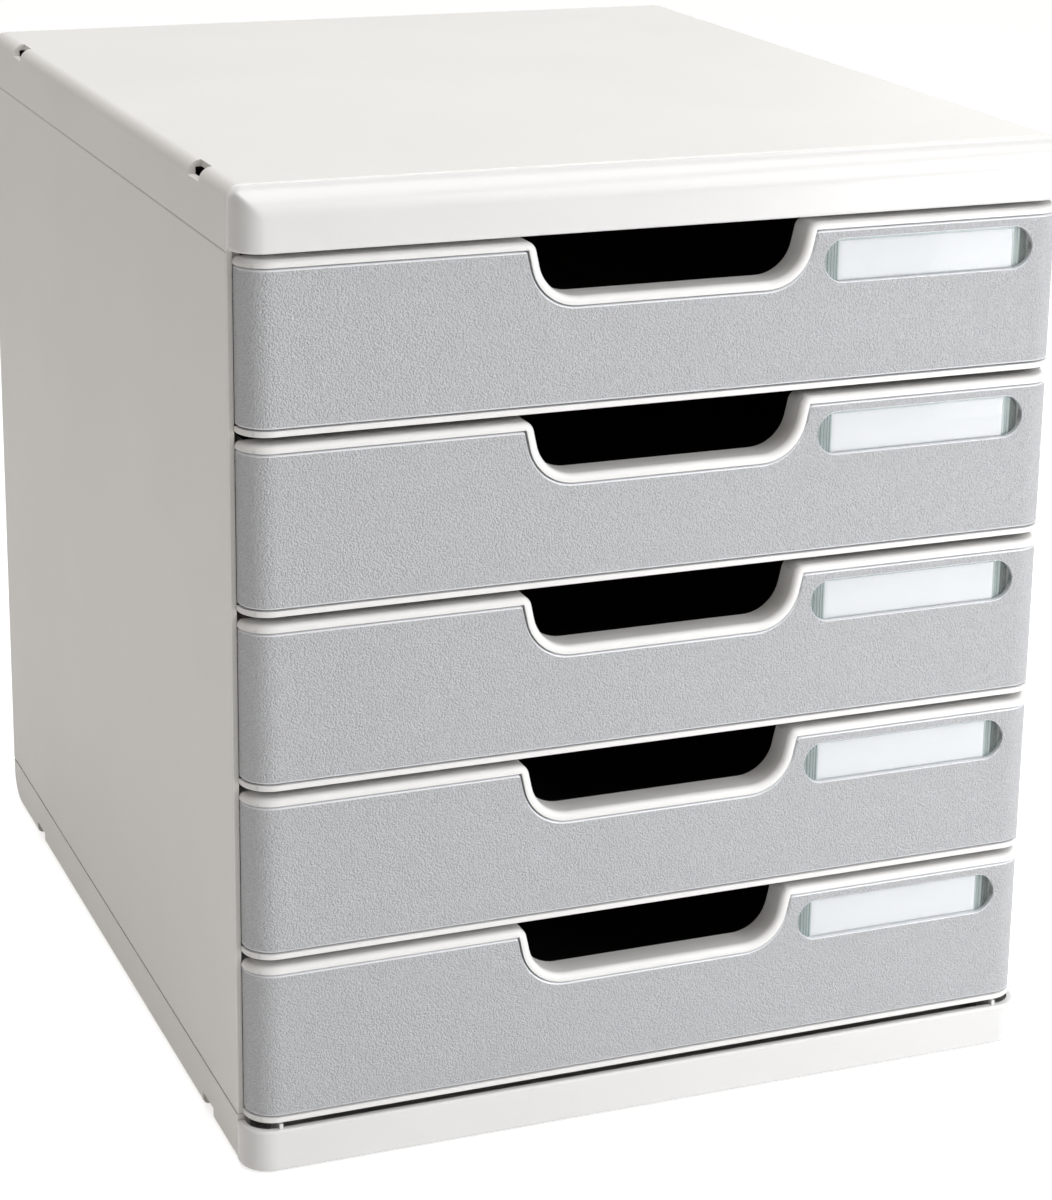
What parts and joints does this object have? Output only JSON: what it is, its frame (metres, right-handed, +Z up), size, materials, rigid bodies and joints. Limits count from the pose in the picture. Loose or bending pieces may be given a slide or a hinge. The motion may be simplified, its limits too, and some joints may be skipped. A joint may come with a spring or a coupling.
{
  "type": "desktop drawer unit",
  "caption": "Free-standing desktop unit of stacked sliding drawers for A4 papers, with finger gaps and clear label windows in the drawer fronts.",
  "frame": {"origin": "middle of the footprint, on the plane that the feet stand on", "axes": "drawer fronts face -Y, which is also the way the drawers open; +X is to the right seen from the front; +Z is up"},
  "size_m": [0.288, 0.346, 0.3265],
  "materials": {
    "housing_plastic": "satin",
    "facia_plastic": "fine grain, matte",
    "tray_plastic": "matte",
    "window_plastic": "clear gloss",
    "paper": "matte paper",
    "foot_rubber": "matte"
  },
  "bodies": {
    "housing": {"top_cover": "housing_plastic", "base_tray": "housing_plastic", "left_side_panel": "housing_plastic", "right_side_panel": "housing_plastic", "back_panel": "housing_plastic", "top_front_rail": "housing_plastic", "bottom_front_rail": "housing_plastic", "rubber_feet": "foot_rubber"},
    "drawer_1": {"drawer_1_tray": "tray_plastic", "drawer_1_front": "housing_plastic", "drawer_1_facia": "facia_plastic", "drawer_1_label_window": "window_plastic", "drawer_1_label_card": "paper"},
    "drawer_2": {"drawer_2_tray": "tray_plastic", "drawer_2_front": "housing_plastic", "drawer_2_facia": "facia_plastic", "drawer_2_label_window": "window_plastic", "drawer_2_label_card": "paper"},
    "drawer_3": {"drawer_3_tray": "tray_plastic", "drawer_3_front": "housing_plastic", "drawer_3_facia": "facia_plastic", "drawer_3_label_window": "window_plastic", "drawer_3_label_card": "paper"},
    "drawer_4": {"drawer_4_tray": "tray_plastic", "drawer_4_front": "housing_plastic", "drawer_4_facia": "facia_plastic", "drawer_4_label_window": "window_plastic", "drawer_4_label_card": "paper"},
    "drawer_5": {"drawer_5_tray": "tray_plastic", "drawer_5_front": "housing_plastic", "drawer_5_facia": "facia_plastic", "drawer_5_label_window": "window_plastic", "drawer_5_label_card": "paper"}
  },
  "joints": [
    {"name": "drawer_1_slide", "type": "slide", "parent": "housing", "child": "drawer_1", "axis": [0, -1, 0], "range_m": [0, 0.245]},
    {"name": "drawer_2_slide", "type": "slide", "parent": "housing", "child": "drawer_2", "axis": [0, -1, 0], "range_m": [0, 0.245]},
    {"name": "drawer_3_slide", "type": "slide", "parent": "housing", "child": "drawer_3", "axis": [0, -1, 0], "range_m": [0, 0.245]},
    {"name": "drawer_4_slide", "type": "slide", "parent": "housing", "child": "drawer_4", "axis": [0, -1, 0], "range_m": [0, 0.245]},
    {"name": "drawer_5_slide", "type": "slide", "parent": "housing", "child": "drawer_5", "axis": [0, -1, 0], "range_m": [0, 0.245]}
  ]
}
